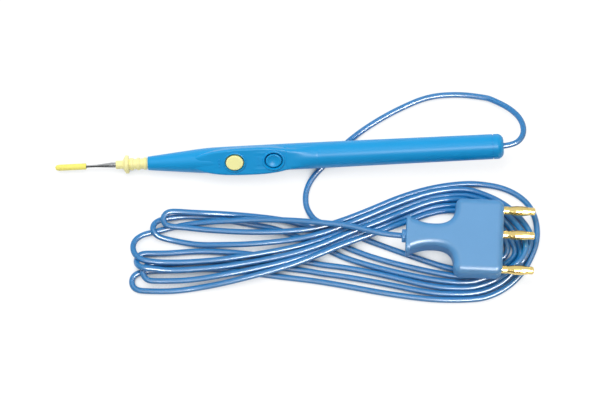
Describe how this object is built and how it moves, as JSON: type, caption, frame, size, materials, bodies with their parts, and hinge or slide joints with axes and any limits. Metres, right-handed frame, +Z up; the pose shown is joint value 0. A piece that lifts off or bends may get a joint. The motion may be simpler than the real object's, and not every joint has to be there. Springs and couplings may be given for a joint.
{
  "type": "electrosurgical pencil",
  "caption": "Slim hand piece with two press buttons and a blade electrode, on a coiled lead with a pinned plug.",
  "frame": {"origin": "centre of the pencil's box at the surface it lies on, measured without the lead and the plug", "axes": "+X along the pencil from its tip to its end cap, +Z up; the pencil lies with its nose a little lower"},
  "size_m": [0.2153, 0.0974, 0.0181],
  "materials": {
    "handle_blue": "satin",
    "button_yellow": "satin",
    "collar_yellow": "satin",
    "tip_yellow": "satin",
    "blade_steel": "polished",
    "socket_brass": "polished",
    "pin_gold": "polished",
    "cord_blue": "gloss",
    "plug_blue": "satin",
    "board_green": "satin",
    "dome_steel": "polished",
    "wire_red": "gloss",
    "wire_white": "gloss",
    "wire_black": "gloss"
  },
  "bodies": {
    "pencil": {"handle_upper": "handle_blue", "handle_lower": "handle_blue", "end_cap": "handle_blue", "cord_grip": "dome_steel", "cord_root": "cord_blue", "cut_dome": "dome_steel", "coag_dome": "dome_steel", "switch_board": "board_green", "electrode_socket": "socket_brass", "cut_wire": "wire_white", "coag_wire": "wire_black", "active_wire": "wire_red", "plug_body": "plug_blue", "cord_collar": "plug_blue", "lead_cord": "cord_blue", "plug_cord": "cord_blue", "cord_hank": "cord_blue", "pin_1": "pin_gold", "spring_cage_1": "pin_gold", "pin_2": "pin_gold", "spring_cage_2": "pin_gold", "pin_3": "pin_gold", "spring_cage_3": "pin_gold"},
    "cut_button": {"cut_button": "button_yellow"},
    "coag_button": {"coag_button": "handle_blue"},
    "electrode": {"electrode_blade": "blade_steel", "electrode_collar": "collar_yellow"},
    "tip_protector": {"tip_protector": "tip_yellow"}
  },
  "joints": [
    {"name": "cut_press", "type": "slide", "parent": "pencil", "child": "cut_button", "axis": [0.0438, 0.5, -0.8649], "range_m": [0, 0.0006], "stiffness_N_per_m": 2500},
    {"name": "coag_press", "type": "slide", "parent": "pencil", "child": "coag_button", "axis": [0.0438, 0.5, -0.8649], "range_m": [0, 0.0006], "stiffness_N_per_m": 2500},
    {"name": "electrode_pull", "type": "slide", "parent": "pencil", "child": "electrode", "axis": [-0.9987, 0, -0.0506], "range_m": [0, 0.024]},
    {"name": "tip_protector_pull", "type": "slide", "parent": "electrode", "child": "tip_protector", "axis": [-0.9987, 0, -0.0506], "range_m": [0, 0.014]}
  ]
}
